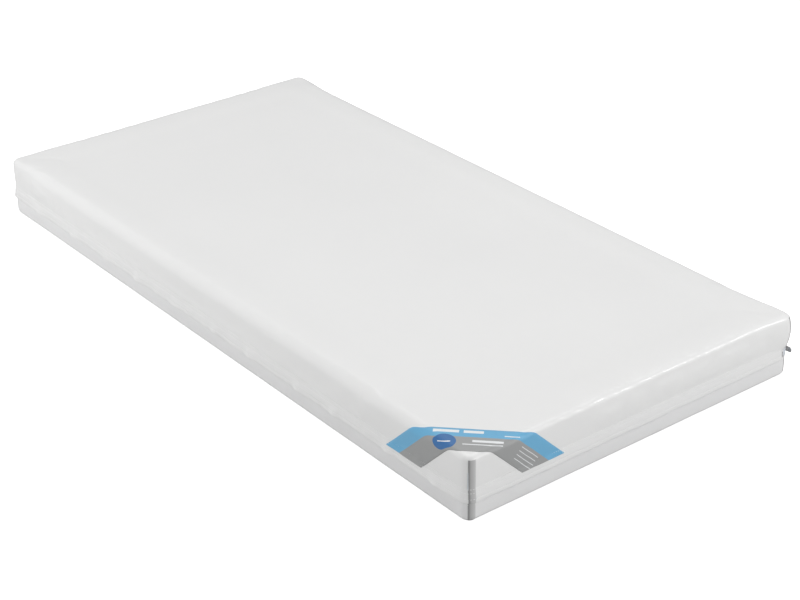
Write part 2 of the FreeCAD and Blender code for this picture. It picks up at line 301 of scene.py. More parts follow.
def foam_material(name, dark, light, cells, depth):
    """Cut foam: its open cells as bump, and paler or yellower patches over the block."""
    material, tree, shader, place = new_material(name, 0.95, sheen=0.15)
    node = place_group(tree, foam_cells, place, **{"Cells per metre": cells})
    tint(tree, shader, node.outputs["Tone"], dark, light)
    bump(tree, shader, node.outputs["Height"], depth)
    return material


def finish(piece, material, body, slot, *nodes):
    """Gives a piece its material and the body it rides on, and hides the nodes it stands for. The slot is
    not used.
    """
    piece.data.materials.clear()
    piece.data.materials.append(material)
    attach(piece, body)
    if nodes:
        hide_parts(*nodes)


SLAB_ROUND = 7 * MM
CUT_EDGE = 0.8 * MM
core_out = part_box("foam_base_slab")[1].x - half_x
slab_low, slab_high = (corner.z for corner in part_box("foam_base_slab"))
slab = foam_block("foam_slab_firm", core_out, slab_low, slab_high, SLAB_ROUND, CUT_EDGE, seed=1)
slab_foam = foam_material("Firm base foam", (0.36, 0.43, 0.52), (0.5, 0.57, 0.66), 620.0, 0.5 * MM)
finish(slab, slab_foam, "core_and_base", "foam_firm", "foam_base_slab")


# ---- Foam bolsters ---------------------------------------------------------------------
# Four firm foam edges, glued into a frame on the slab, so that the sides carry someone who
# sits there. The long ones run the whole length, and the short ones fit between them.

BOLSTER_EDGE = 1.2 * MM
BOLSTER_SWAY = 0.2 * MM
SWAY_SPACING = 0.13
END_SIZE = 0.985


def bevelled_bar(name, low, high, edge, seed):
    """A foam bar between two corners. Its section across the short way is a rounded
    rectangle, each corner a quarter circle, carried along the long way. Each section but the
    end ones sways by a fraction of a millimetre, and the ends shrink to a point."""
    low, high = np.array(low), np.array(high)
    long_axis = int(np.argmax(high - low))
    wide_axis = 1 - long_axis
    half = (high - low)[[wide_axis, 2]] / 2
    centre = (high + low)[[wide_axis, 2]] / 2
    quadrant = np.concatenate([np.repeat(np.arange(4), 5), [0]])
    turned = np.concatenate([np.tile(np.linspace(0, 90, 5), 4), [360]])
    angle = np.radians(turned + 90 * quadrant)
    corner_x = np.array([1, -1, -1, 1])[quadrant] * (half[0] - edge)
    corner_z = np.array([1, 1, -1, -1])[quadrant] * (half[1] - edge)
    wide = corner_x + edge * np.cos(angle)
    tall = corner_z + edge * np.sin(angle)
    span = np.linspace(low[long_axis], high[long_axis], 120)
    stations = np.concatenate([[span[0], span[0]], span, [span[-1], span[-1]]])
    size = np.concatenate([[0, END_SIZE], np.ones(len(span)), [END_SIZE, 0]])
    sway = BOLSTER_SWAY * ripple(stations, SWAY_SPACING, seed) * (size == 1)
    grid = np.zeros((len(stations), len(angle), 3))
    grid[..., long_axis] = stations[:, None]
    grid[..., wide_axis] = centre[0] + size[:, None] * wide[None, :] + sway[:, None]
    grid[..., 2] = centre[1] + size[:, None] * tall[None, :]
    return join(name, grid if long_axis == 0 else grid[::-1])


edge_foam = foam_material("Edge foam", (0.58, 0.62, 0.66), (0.72, 0.75, 0.79), 650.0, 0.45 * MM)
for seed, place_name in enumerate(("front", "back", "left", "right"), start=11):
    node_name = f"foam_bolster_{place_name}"
    bolster = bevelled_bar(f"bolster_{place_name}", *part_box(node_name), BOLSTER_EDGE, seed)
    finish(bolster, edge_foam, "core_and_base", "foam_edge", node_name)


# ---- Cell insert -----------------------------------------------------------------------
# The pressure relief insert: softer foam whose top is cut into free-standing cells, so that
# each gives way by itself. It is glued inside the bolsters, flush with their tops.

CELLS_X = 14
CELLS_Y = 6
CELL_CUT = 4 * MM
CELL_DEPTH = 28 * MM
CUT_WALL = 0.05 * MM
CELL_FLAT = 10 * MM
insert_low, insert_high = (np.array(corner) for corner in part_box("foam_cell_insert"))


def cell_lines(low, high, count):
    """Grid lines across a row of cells, and each line's share of the full height: 0 on the
    floor of a cut, and 1 on a cell, with a rounded shoulder at each side of it."""
    lines, rises = [], []
    pitch = (high - low) / count
    shoulder = np.array([0, 0.35, 1.0, 2.2, 4.0]) * MM
    rise = np.array([0.90, 0.965, 0.985, 0.996, 1.0])
    for cell in range(count):
        start = low + cell * pitch + (CELL_CUT / 2 if cell else 0)
        end = low + (cell + 1) * pitch - (CELL_CUT / 2 if cell < count - 1 else 0)
        flat = np.linspace(start + CELL_FLAT, end - CELL_FLAT, 5)
        lines += [start - CUT_WALL, *(start + shoulder), *flat, *(end - shoulder[::-1]), end + CUT_WALL]
        rises += [0, *rise, *np.ones(5), *rise[::-1], 0]
    return np.array(lines[1:-1]), np.array(rises[1:-1])


cell_x, rise_x = cell_lines(insert_low[0], insert_high[0], CELLS_X)
cell_y, rise_y = cell_lines(insert_low[1], insert_high[1], CELLS_Y)
grid_x, grid_y = np.meshgrid(cell_x, cell_y)
rise = np.minimum(rise_x[None, :], rise_y[:, None])
cell_top = np.stack([grid_x, grid_y, insert_high[2] - CELL_DEPTH * (1 - rise)], axis=-1)
cell_floor = cell_top.copy()
cell_floor[..., 2] = insert_low[2]
rim = [cell_top[0], cell_top[:, -1], cell_top[-1, ::-1], cell_top[::-1, 0]]
foot = [cell_floor[0], cell_floor[:, -1], cell_floor[-1, ::-1], cell_floor[::-1, 0]]
skirts = [np.stack([below, above]) for below, above in zip(foot, rim)]
insert = join("cell_insert", cell_top, cell_floor[::-1], *skirts)
cell_foam = foam_material("Cell foam", (0.84, 0.77, 0.55), (0.93, 0.88, 0.7), 560.0, 0.5 * MM)
finish(insert, cell_foam, "core_and_base", "foam_cells", "foam_cell_insert")


# ---- Topper ----------------------------------------------------------------------------
# The soft layer under the lying surface: fine visco-elastic foam that warms and shapes
# itself to the body. It is glued over the insert and the bolsters.

TOPPER_ROUND = 16 * MM
topper_low, topper_high = (corner.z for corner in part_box("foam_topper"))
topper = foam_block("topper_visco", core_out, topper_low, topper_high, CUT_EDGE, TOPPER_ROUND, seed=2)
topper_foam = foam_material("Visco foam", (0.86, 0.83, 0.74), (0.94, 0.92, 0.85), 900.0, 0.25 * MM)
finish(topper, topper_foam, "core_and_base", "foam_visco", "foam_topper")


# ---- Lower cover -----------------------------------------------------------------------
# The tray that the core lies in: white coated cloth, cut in one piece, folded up over a soft
# bottom edge and sewn at the corners. The zip's lower tape is sewn inside its top edge.

base_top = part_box("cover_base")[1].z
BASE_ROUND = 8 * MM
CLOTH = 1 * MM
COAT_ROUGHNESS = 0.16

cloth_grain, grain_in, grain_out = new_group(
    "Cloth grain",
    [("Vector", "Place", None), ("Float", "Threads per metre", 900.0)],
    [("Float", "Height"), ("Float", "Tone")],
)
stretch = cloth_grain.nodes.new("ShaderNodeVectorMath")
stretch.operation = "SCALE"
cloth_grain.links.new(grain_in.outputs["Place"], stretch.inputs[0])
cloth_grain.links.new(grain_in.outputs["Threads per metre"], stretch.inputs["Scale"])
threads = cloth_grain.nodes.new("ShaderNodeTexVoronoi")
threads.inputs["Scale"].default_value = 1.0
threads.inputs["Randomness"].default_value = 0.35
cloth_grain.links.new(stretch.outputs["Vector"], threads.inputs["Vector"])
coating = noise_node(cloth_grain, grain_in.outputs["Place"], 60.0, 3.0)
cloud = noise_node(cloth_grain, grain_in.outputs["Place"], 4.0, 2.0)
coated_threads = math_node(cloth_grain, "MULTIPLY_ADD", coating, 1.2, threads.outputs["Distance"])
faint_coating = math_node(cloth_grain, "MULTIPLY", coating, 0.25)
clouded = math_node(cloth_grain, "MULTIPLY_ADD", cloud, 0.8, faint_coating)
cloth_grain.links.new(coated_threads, grain_out.inputs["Height"])
cloth_grain.links.new(clouded, grain_out.inputs["Tone"])


def cloth_material(name, dark, light, roughness, threads_per_metre, depth, sheen=0.1, coat=0.0):
    """Coated cloth: its threads as fine bump under the coating, and faint uneven tone."""
    material, tree, shader, place = new_material(name, roughness, sheen)
    shader.inputs["Coat Weight"].default_value = coat
    shader.inputs["Coat Roughness"].default_value = COAT_ROUGHNESS
    node = place_group(tree, cloth_grain, place, **{"Threads per metre": threads_per_metre})
    tint(tree, shader, node.outputs["Tone"], dark, light)
    bump(tree, shader, node.outputs["Height"], depth)
    return material


def thicken(piece, thickness, offset):
    """Gives a sheet its thickness: offset -1 puts it all behind the outer face."""
    solid = piece.modifiers.new("Thickness", "SOLIDIFY")
    solid.thickness = thickness
    solid.offset = offset


def base_push(along, z):
    """How far the lower wall stands out: a low bulge at half its height, and slack waves
    that fade out at the floor and under the zip."""
    share = np.clip(z / base_top, 0, 1)
    belly = np.sin(math.pi * share)
    return belly * (0.5 + 0.5 * ripple(along, 0.16, 21)) * MM


base_arc_out, base_arc_z = quarter(BASE_ROUND, 9, -90, 0)
base_wall = np.linspace(BASE_ROUND, base_top, 14)[1:]
base_out = np.concatenate([[RING_REACH], base_arc_out - BASE_ROUND, np.zeros_like(base_wall)])
base_z = np.concatenate([[0], base_arc_z + BASE_ROUND, base_wall])
base_side = ring(base_out, base_z)
all_along = np.concatenate([steps_around(), [0]])
_, all_away = outline(all_along, 0)
base_side[..., :2] += base_push(all_along[None, :], base_side[..., 2])[..., None] * all_away
base = join("lower_cover", base_side, middle(RING_REACH, 0, upwards=False))
thicken(base, CLOTH, -1)
base_cloth = cloth_material("Base cloth", (0.74, 0.74, 0.745), (0.8, 0.8, 0.8), 0.55, 1000.0, 0.12 * MM)
finish(base, base_cloth, "core_and_base", "base_cloth", "cover_base")


# ---- Upper cover -----------------------------------------------------------------------
# One sheet of white coated stretch knit over the lying surface, folded down over soft edges
# on all four sides and sewn up at the corners. Its lower edge is sewn to the zip.

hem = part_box("cover_top")[0].z
TOP_REACH = -90 * MM
EDGE_TIGHT = 8.5 * MM
EDGE_WIDER = 7.5 * MM
EDGE_UNEVEN = 0.7 * MM
EDGE_PUCKER = 0.8 * MM
EDGE_CHANGE = 110 * MM
EDGE_EASE = 0.8 * MM
WALL_BELLY = 0.9 * MM
WALL_UNEVEN = 0.5 * MM
SEAM_PUCKER = 0.42 * MM
GATHERED = 4.5 * MM
TOP_CROWN = 1.3 * MM
TOP_SLACK = 0.35 * MM
corner_mouth = around - turn / 2
seam_level = hem + 4 * MM


def smooth(value, low, high):
    """0 below low, 1 above high, and three t squared less two t cubed between them."""
    share = np.clip((value - low) / (high - low), 0, 1)
    return share * share * (3 - 2 * share)


def from_corner(along):
    """The distance along the outline to the nearest corner's turn, 0 all round the turn."""
    side_end = stretch_starts[1::2]
    gap = (along[..., None] - side_end - turn / 2 + around / 2) % around - around / 2
    return np.maximum(np.min(np.abs(gap), axis=-1) - turn / 2, 0)


def edge_radius(along):
    """How softly the cloth turns over the top edge: one bend at all the corners, and away
    from them a wider one on the two long sides than on the ends, with a slow uneven wave and,
    on the ends, short puckers."""
    _, away = outline(along, 0)
    long_side = away[..., 1] ** 2
    clear = smooth(from_corner(along), 0, EDGE_CHANGE)
    puckers = EDGE_PUCKER * (1 - long_side) * ripple(along, 0.035, 41)
    return EDGE_TIGHT + clear * (EDGE_WIDER * long_side + EDGE_UNEVEN * ripple(along, 0.25, 31) + puckers)


def wall_push(along, z):
    """How far the upper wall stands out from the flat: a belly between the zip and the top
    edge, slow waves, short puckers that rise from the twin seam and die out above it, and
    a full corner where the zip's ends are gathered."""
    share = np.clip((z - hem) / (height - hem), 0, 1)
    belly = np.sin(math.pi * share) ** 0.8
    slow = (WALL_BELLY + WALL_UNEVEN * ripple(along, 0.22, 32)) * belly
    pucker = SEAM_PUCKER * ripple(along, 0.034, 33) * np.exp(-np.abs(z - seam_level) / (7 * MM))
    gap = (along - corner_mouth + around / 2) % around - around / 2
    return slow + pucker + GATHERED * np.exp(-((gap / (30 * MM)) ** 2)) * belly


def top_lift(x, y):
    """The lying surface's height: a crown of about a millimetre, one less the fourth power
    of each way's share, and faint slack waves in three directions."""
    crown = (1 - (x / half_x) ** 4) * (1 - (y / half_y) ** 4)
    wave = np.sin(7.1 * x + 2.3 * y + 0.6) + 0.7 * np.sin(-4.2 * x + 11.3 * y + 2.1)
    wave += 0.5 * np.sin(16 * x + 9 * y)
    return height + (TOP_CROWN + TOP_SLACK * wave) * crown - EDGE_EASE


wall_rows = 15
bend_rows = 11
top_rows = 8
share_up = np.linspace(0, 1, wall_rows)[:, None] ** 1.2
radius = edge_radius(all_along)[None, :]
wall_z = hem + share_up * (height - radius - hem)
bend = np.radians(np.linspace(0, 90, bend_rows))[1:, None]
bend_out = -radius * (1 - np.cos(bend))
bend_z = height - radius * (1 - np.sin(bend))
top_out = -radius + np.linspace(0, 1, top_rows + 1)[1:, None] * (TOP_REACH + radius)
cover_out = np.concatenate([np.zeros_like(wall_z), bend_out, top_out])
cover_z = np.concatenate([wall_z, bend_z, np.full_like(top_out, height)])
face_up = np.concatenate([np.zeros(wall_rows), np.sin(bend[:, 0]), np.ones(top_rows)])[:, None]
cover_xy, _ = outline(all_along[None, :], cover_out)
push = wall_push(all_along[None, :], cover_z) * (1 - face_up**2)
lift = (top_lift(cover_xy[..., 0], cover_xy[..., 1]) - height) * face_up**2
cover_xy = cover_xy + push[..., None] * all_away
cover = join("upper_cover", at_height(cover_xy, cover_z + lift), middle(TOP_REACH, top_lift))


def read_points(mesh):
    """A mesh's vertex places as one array."""
    points = np.empty(len(mesh.vertices) * 3, np.float32)
    mesh.vertices.foreach_get("co", points)
    return points.reshape(-1, 3).astype(float)


def inflate(piece, held, free, pressure, slack, cap):
    """Lets a sheet settle as cloth for a few steps, pressed outwards from inside and cut a
    little too large. Held points stay where they are. Each other point keeps its move times
    its freedom, from 0 to 1, and no point moves further than the cap."""
    start = read_points(piece.data)
    group = piece.vertex_groups.new(name="Held")
    group.add(np.flatnonzero(held).tolist(), 1.0, "REPLACE")
    cloth = piece.modifiers.new("Settle", "CLOTH")
    cloth.settings.quality = 4
    cloth.settings.mass = 0.25
    cloth.settings.tension_stiffness = 20
    cloth.settings.compression_stiffness = 20
    cloth.settings.shear_stiffness = 8
    cloth.settings.bending_stiffness = 3
    cloth.settings.vertex_group_mass = "Held"
    cloth.settings.use_pressure = True
    cloth.settings.uniform_pressure_force = pressure
    cloth.settings.shrink_min = -slack
    cloth.settings.shrink_max = -slack
    cloth.settings.effector_weights.gravity = 0
    cloth.point_cache.frame_start = 1
    cloth.point_cache.frame_end = SETTLE_STEPS
    for step in range(1, SETTLE_STEPS + 1):
        bpy.context.scene.frame_set(step)
    graph = bpy.context.evaluated_depsgraph_get()
    settled = piece.evaluated_get(graph)
    moves = read_points(settled.to_mesh()) - start
    settled.to_mesh_clear()
    piece.modifiers.remove(cloth)
    piece.vertex_groups.remove(group)
    bpy.context.scene.frame_set(1)
    length = np.linalg.norm(moves, axis=1, keepdims=True)
    limited = cap * np.tanh(length / cap)
    moves *= limited / np.maximum(length, 1e-9) * free[:, None]
    piece.data.vertices.foreach_set("co", (start + moves).astype(np.float32).ravel())
    piece.data.update()


SETTLE_STEPS = 16
COVER_PRESSURE = 4.0
COVER_SLACK = 0.004
COVER_CAP = 1.3 * MM
HELD_WALL = 9 * MM
FREE_WALL = 16 * MM
FREE_TOP = 40 * MM
HELD_TOP = 80 * MM
points = read_points(cover.data)
from_end_edge = half_x - np.abs(points[:, 0])
from_long_edge = half_y - np.abs(points[:, 1])
inside_top = np.minimum(from_end_edge, from_long_edge)
corner_gap = np.hypot(np.maximum(from_end_edge, 0), np.maximum(from_long_edge, 0))
at_label = (points[:, 0] > 0) & (points[:, 1] < 0)
off_label = smooth(corner_gap, 175 * MM, 240 * MM)
free = np.where(at_label, off_label, smooth(corner_gap, 22 * MM, 70 * MM))
held = (points[:, 2] < hem + HELD_WALL) | (inside_top > HELD_TOP) | (free < 0.01)
free = free * (1 - smooth(inside_top, FREE_TOP, HELD_TOP))
free = free * smooth(points[:, 2], hem + HELD_WALL, hem + FREE_WALL)
inflate(cover, held, free, COVER_PRESSURE, COVER_SLACK, COVER_CAP)
thicken(cover, CLOTH, -1)
cover_cloth = cloth_material(
    "Cover cloth", (0.77, 0.77, 0.768), (0.82, 0.82, 0.815), 0.42, 1100.0, 0.1 * MM, sheen=0.2, coat=0.5
)
finish(cover, cover_cloth, "upper_cover", "cover_cloth", "cover_top")


# ---- Storm flap ------------------------------------------------------------------------
# A hemmed strip of the cover's cloth over the zip on three sides. A twin row of stitches
# holds its top edge to the upper cover, and below that it hangs free of the coil.

flap_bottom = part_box("storm_flap")[0].z
flap_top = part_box("storm_flap")[1].z
FLAP_SEWN = 0.9 * MM
FLAP_HANG = 2.2 * MM
FLAP_THICK = 0.8 * MM
HEM_WIDTH = 5.5 * MM
HEM_RAISED = 0.35 * MM
HEM_GROOVE = 0.18 * MM
PUCKER_SPACING = 104 * MM
PUCKER_SWAY = 12 * MM
PUCKER_OUT = 3.4 * MM
PUCKER_RISE = 1.3 * MM
LIFTED_OUT = 2.2 * MM
LIFTED_RISE = 1.2 * MM
flap_start = run_x + turn + 3 * MM
flap_end = around - turn - 3 * MM
label_corner = run_x + run_y + run_x + 2.5 * turn
lift_place = label_corner - turn / 2 - 45 * MM


def front_share(along):
    """1 on the front side, 0 on the others, and between them round the corners."""
    _, away = outline(along, 0)
    return np.maximum(-away[..., 1], 0) ** 2


def flap_crest(along):
    """Where the loose flap puckers on the front side: short crests, 1 high, about a hand's
    width apart. A crest is the exponential of a wave that sways along the side."""
    swayed = along + PUCKER_SWAY * ripple(along, 0.3, 44)
    return front_share(along) * np.exp(5 * (np.cos(2 * math.pi * swayed / PUCKER_SPACING) - 1))


def lifted(along, width):
    """A single bell-shaped rise, 1 high, beside the label's corner."""
    return np.exp(-(((along - lift_place) / width) ** 2))


def flap_out(along, z):
    """How far the flap's outer face stands out: its sewn thickness above the twin seam, the
    clearance for the coil below it, a raised hem with a groove where it is stitched, and a
    flare that grows downwards. The flare has uneven waves, and on the front side it also has
    the puckers' crests and one lifted stretch by the corner."""
    hang = 1 - smooth(z, hem - 4.5 * MM, hem + 7 * MM)
    drop = np.clip((hem - z) / (hem - flap_bottom), 0, 1)
    hem_line = flap_bottom + HEM_WIDTH
    hemmed = HEM_RAISED * (1 - smooth(z, hem_line - 1.2 * MM, hem_line + 0.3 * MM))
    groove = HEM_GROOVE * np.exp(-(((z - hem_line) / (0.8 * MM)) ** 2))
    front = front_share(along)
    loose = (0.35 * ripple(along, 0.09, 41) + 0.2 * ripple(along, 0.03, 42)) * MM
    crests = PUCKER_OUT * flap_crest(along) + LIFTED_OUT * front * lifted(along, 48 * MM)
    flare = drop * (0.6 * MM + (0.7 + 1.1 * front) * loose + crests)
    stitched = 0.25 * MM * ripple(along, 0.034, 33) * (1 - hang)
    edge = 0.85 * MM * smooth(z, flap_top - 3.2 * MM, flap_top)
    level = FLAP_SEWN + (FLAP_HANG - FLAP_SEWN) * hang
    return level + hemmed - groove + np.maximum(flare, 0) + stitched - edge


def flap_drop(along, z):
    """How far the flap's cloth is pulled down: nothing at its seam, and most at its hem,
    where it is a little uneven and rides up at the crests and beside the corner."""
    drop = np.clip((hem - z) / (hem - flap_bottom), 0, 1)
    risen = LIFTED_RISE * lifted(along, 60 * MM) + PUCKER_RISE * flap_crest(along)
    return drop * (0.7 * MM * ripple(along, 0.12, 43) - risen)


def face_grid(along, z, out, drop):
    """A grid over a face: columns along the outline and rows down it, each point standing
    out and let down as the two functions say."""
    place, _ = outline(along, out(along, z))
    return at_height(place, z - drop(along, z))


flap_steps = steps_around()
flap_steps = flap_steps[(flap_steps > flap_start) & (flap_steps < flap_end)]
flap_steps = np.concatenate([[flap_start], flap_steps, [flap_end]])
flap_share = np.linspace(0, 1, len(flap_steps))
flap_along = np.interp(np.linspace(0, 1, 2 * len(flap_steps)), flap_share, flap_steps)
hem_rows = np.linspace(flap_bottom, flap_bottom + 7 * MM, 12)
flap_z = np.concatenate([hem_rows, np.linspace(flap_bottom + 8 * MM, flap_top, 14)])
flap = join("storm_flap_cloth", face_grid(flap_along[None, :], flap_z[:, None], flap_out, flap_drop))
thicken(flap, FLAP_THICK, -1)
flap_cloth = cloth_material(
    "Flap cloth", (0.76, 0.76, 0.76), (0.81, 0.81, 0.806), 0.4, 1100.0, 0.1 * MM, sheen=0.2, coat=0.5
)
finish(flap, flap_cloth, "upper_cover", "flap_cloth", "storm_flap")


# ---- Corner seam tapes -----------------------------------------------------------------
# Grey tape welded over the sewn corners of both covers, so that no fluid gets through the
# needle holes. Its grey is partly its own colour and partly painted shade of the rounded
# corners. The upper ones go on down over the flap, and end on the top edge's bend.

TAPE_WIDTH = 10.5 * MM
TAPE_THICK = 0.45 * MM
TAPE_ASIDE = 5 * MM
TAPE_SHORT = 6 * MM
TAPE_LOW = 2 * MM
TAPE_COLUMNS = 15
SEAM_SHARE = 0.14


def uv_parts(tree, name):
    """The two outputs of a UV map: X is its first value and Y is its second."""
    uv_map = tree.nodes.new("ShaderNodeUVMap")
    uv_map.uv_map = name
    parts = tree.nodes.new("ShaderNodeSeparateXYZ")
    tree.links.new(uv_map.outputs["UV"], parts.inputs["Vector"])
    return parts.outputs["X"], parts.outputs["Y"]


tape_cloth, tree, shader, place = new_material("Seam tape", 0.5, sheen=0.1)
across_share, _ = uv_parts(tree, "Width")
off_seam = math_node(tree, "ABSOLUTE", math_node(tree, "SUBTRACT", across_share, SEAM_SHARE))
clear_of_seam = tree.nodes.new("ShaderNodeMapRange")
clear_of_seam.interpolation_type = "SMOOTHSTEP"
clear_of_seam.inputs["From Max"].default_value = 0.2
tree.links.new(off_seam, clear_of_seam.inputs["Value"])
# Painted shade: the tape is darker at one edge and lighter across it, and darker still along a line where
# the seam lies under it. This stands in for the shade of the rounded corner.
painted_shade_across_tape = math_node(tree, "MULTIPLY_ADD", across_share, 0.35, 0.4)
seam_shadow = math_node(tree, "MULTIPLY_ADD", clear_of_seam.outputs["Result"], 0.6, 0.4)
tape_painted_shade = math_node(tree, "MULTIPLY", painted_shade_across_tape, seam_shadow)
tape_weave = place_group(tree, cloth_grain, place, **{"Threads per metre": 1300.0})
tape_weave_and_painted_shade = math_node(tree, "MULTIPLY_ADD", tape_weave.outputs["Tone"], 0.3, tape_painted_shade)
# The tape's colour is the painted shade across it and along the seam line, plus its weave's uneven tone.
tint(tree, shader, tape_weave_and_painted_shade, (0.08, 0.08, 0.08), (0.6, 0.6, 0.6))
bump(tree, shader, tape_weave.outputs["Height"], 0.1 * MM)
corner_places = {
    "left_back": run_x + turn / 2,
    "left_front": run_x + run_y + 1.5 * turn,
    "right_front": label_corner + TAPE_ASIDE,
    "right_back": around - turn / 2,
}


def on_cover(along, z):
    """The upper cover's outer face at a height on its wall or its top bend."""
    radius = edge_radius(along)
    rise = np.clip(z - (height - radius), 0, radius)
    out = -(radius - np.sqrt(np.maximum(radius**2 - rise**2, 0)))
    face_up = rise / radius
    return out + wall_push(along, z) * (1 - face_up**2)


def lay_uv(piece, name, u, v):
    """A UV map on a one-grid mesh, from a value for each of its points."""
    layer = piece.data.uv_layers.new(name=name)
    corners = np.empty(len(piece.data.loops), np.int32)
    piece.data.loops.foreach_get("vertex_index", corners)
    values = np.stack([u.ravel()[corners], v.ravel()[corners]], axis=-1)
    layer.data.foreach_set("uv", values.ravel().astype(np.float32))


def bend_drop(along, z):
    """How far the cloth on the top bend is eased down, which an upper tape follows."""
    radius = edge_radius(along)
    face_up = np.clip(z - (height - radius), 0, radius) / radius
    return EDGE_EASE * face_up**2


def still(along, z):
    """No drop: nothing pulls this face down."""
    return np.zeros(np.broadcast_shapes(np.shape(along), np.shape(z)))


def upper_tape_out(along, z):
    """The face that an upper tape lies on: the cover, or the flap where there is one."""
    covered = (along > flap_start) & (along < flap_end) & (z < flap_top + 1 * MM)
    flapped = np.where(covered, flap_out(along, np.minimum(z, flap_top - 1 * MM)), 0)
    return np.maximum(on_cover(along, z), flapped)


def upper_tape_drop(along, z):
    """How far the face under an upper tape is let down: by the flap and by the top bend."""
    covered = (along > flap_start) & (along < flap_end)
    return np.where(covered, flap_drop(along, z), 0) + bend_drop(along, z)


def lower_tape_out(along, z):
    """The face that a lower tape lies on: the lower wall and its bottom bend."""
    low = np.clip(BASE_ROUND - z, 0, BASE_ROUND)
    return base_push(along, z) - (BASE_ROUND - np.sqrt(BASE_ROUND**2 - low**2))


def seam_tape(corner_name, part, body, z, out, drop):
    """A strip over a corner of one cover: columns across its width, a row for each height.
    It keeps its width where the corner bulges, by the bulged arc's share of the plain one.
    It stands proud of the face below it, is sunk along both edges, and drops with it."""
    middle_along = corner_places[corner_name]
    across = np.linspace(-1, 1, TAPE_COLUMNS)
    bulge = np.maximum(out(np.full(z.shape, middle_along), z), 0)
    along = middle_along + TAPE_WIDTH / 2 * across * (CORNER / (CORNER + bulge))[:, None]
    proud = TAPE_THICK - 0.3 * MM * np.abs(across) ** 8
    grid = face_grid(along, z[:, None], lambda along, z: out(along, z) + proud, drop)
    tape = join(f"seam_tape_{part}_{corner_name}", grid)
    lay_uv(tape, "Width", *np.meshgrid(np.linspace(0, 1, TAPE_COLUMNS), np.linspace(0, 1, len(z))))
    thicken(tape, TAPE_THICK, -1)
    finish(tape, tape_cloth, body, "seam_tape", f"corner_tape_{part}_{corner_name}")


for corner_name, corner_along in corner_places.items():
    tape_foot = flap_bottom if flap_start < corner_along < flap_end else hem
    upper_z = np.linspace(tape_foot, height - TAPE_SHORT, 50)
    lower_z = np.linspace(TAPE_LOW, base_top, 20)
    seam_tape(corner_name, "upper", "upper_cover", upper_z, upper_tape_out, upper_tape_drop)
    seam_tape(corner_name, "lower", "core_and_base", lower_z, lower_tape_out, still)


# ---- Corner label ----------------------------------------------------------------------
# A printed satin band laid at 45 degrees over the right front corner, down both walls to the
# flap's seam. It is plain: a sky blue outer stripe, a grey inner one, a disc and some bars.

LABEL_NEAR = 16.5 * MM
LABEL_FAR = 68.5 * MM
LABEL_SPLIT = 49 * MM
LABEL_BOW = 7 * MM
LABEL_END = hem + 1 * MM
LABEL_PROUD = 0.5 * MM
LABEL_THICK = 0.4 * MM
PRINT_GREY = (0.33, 0.335, 0.335)
PRINT_SKY = (0.14, 0.42, 0.66)
PRINT_NAVY = (0.035, 0.15, 0.38)
PRINT_WHITE = (0.8, 0.82, 0.83)
DISC_ALONG = -35 * MM
DISC_ACROSS = 37 * MM
DISC_RADIUS = 16.5 * MM


def fold(distance, radius):
    """Where a sheet's point lies once it is folded over an edge: its offset outwards, its
    height and how far it faces up, from its flat distance in from that edge. A bend of the
    radius takes its own arc's length of the sheet, and the rest lies flat on each side."""
    arc = math.pi / 2 * radius
    angle = np.clip((distance + arc / 2) / radius, 0, math.pi / 2)
    inwards = np.maximum(distance - arc / 2, 0)
    downwards = np.maximum(-distance - arc / 2, 0)
    out = -radius * (1 - np.cos(angle)) - inwards
    return out, height - radius * (1 - np.sin(angle)) - downwards, np.sin(angle)


def label_points(across, along, proud):
    """Points of the band, folded over the two top edges and standing proud of the cloth.

    Flat, a point has a distance along the band, 0 at its middle, and a distance from the
    corner across it, which grows a little towards the ends, where the band bows outwards.
    Turned by 45 degrees these give how far it is in from the end edge and from the front
    edge. Where one of those is negative, the point is that far down the wall.
    """
    across = across + LABEL_BOW * smooth(np.abs(along) - across, -8 * MM, 16 * MM)
    from_end = (across - along) / math.sqrt(2)
    from_front = (across + along) / math.sqrt(2)
    front_along = label_corner - turn / 2 - (from_end - CORNER)
    end_along = label_corner + turn / 2 + (from_front - CORNER)
    front_out, front_z, front_up = fold(from_front, edge_radius(front_along))
    end_out, end_z, end_up = fold(from_end, edge_radius(end_along))
    x = half_x + end_out
    y = -half_y - front_out
    z = np.minimum(front_z, end_z)
    on_front = front_up < end_up
    up = np.minimum(front_up, end_up)
    wall_along = np.where(on_front, front_along, end_along)
    cloth = wall_push(wall_along, z) * (1 - up**2)
    flap_face = flap_out(wall_along, np.minimum(z, flap_top - 1 * MM))
    over = smooth(-z, -flap_top - 2 * MM, -flap_top)
    out = np.maximum(cloth, over * flap_face) + proud * (1 - up)
    x = x + np.where(on_front, 0, out)
    y = y - np.where(on_front, out, 0)
    z = z + up**2 * (top_lift(x, y) - height) + up * proud
    return np.stack([x, y, z], axis=-1)


label_drop = height - LABEL_END
label_width = LABEL_FAR - LABEL_NEAR
label_length = 2 * (LABEL_FAR + LABEL_BOW + math.sqrt(2) * label_drop)
label_across = np.linspace(LABEL_NEAR, LABEL_FAR, 34)[:, None]
label_along = np.linspace(-1, 1, 181) * (label_across + LABEL_BOW + math.sqrt(2) * label_drop)
label_u = label_along / label_length + 0.5
label_v = np.broadcast_to((label_across - LABEL_NEAR) / label_width, label_u.shape)
edge_sink = 0.35 * MM * np.abs(2 * label_v - 1) ** 14
label = join("corner_label_band", label_points(label_across, label_along, LABEL_PROUD - edge_sink))
lay_uv(label, "Band", label_u, label_v)
thicken(label, LABEL_THICK, -1)
label_print, tree, shader, place = new_material("Label print", 0.38, sheen=0.1)
band_x, band_y = uv_parts(tree, "Band")
along_label = math_node(tree, "MULTIPLY_ADD", band_x, label_length, -label_length / 2)
across_label = math_node(tree, "MULTIPLY_ADD", band_y, label_width, LABEL_NEAR)


def bar(centre_along, centre_across, long, wide):
    """A mask that is 1 inside a printed rectangle on the band, and 0 outside it."""
    on_length = math_node(tree, "COMPARE", along_label, centre_along, long / 2)
    on_width = math_node(tree, "COMPARE", across_label, centre_across, wide / 2)
    return math_node(tree, "MULTIPLY", on_length, on_width)


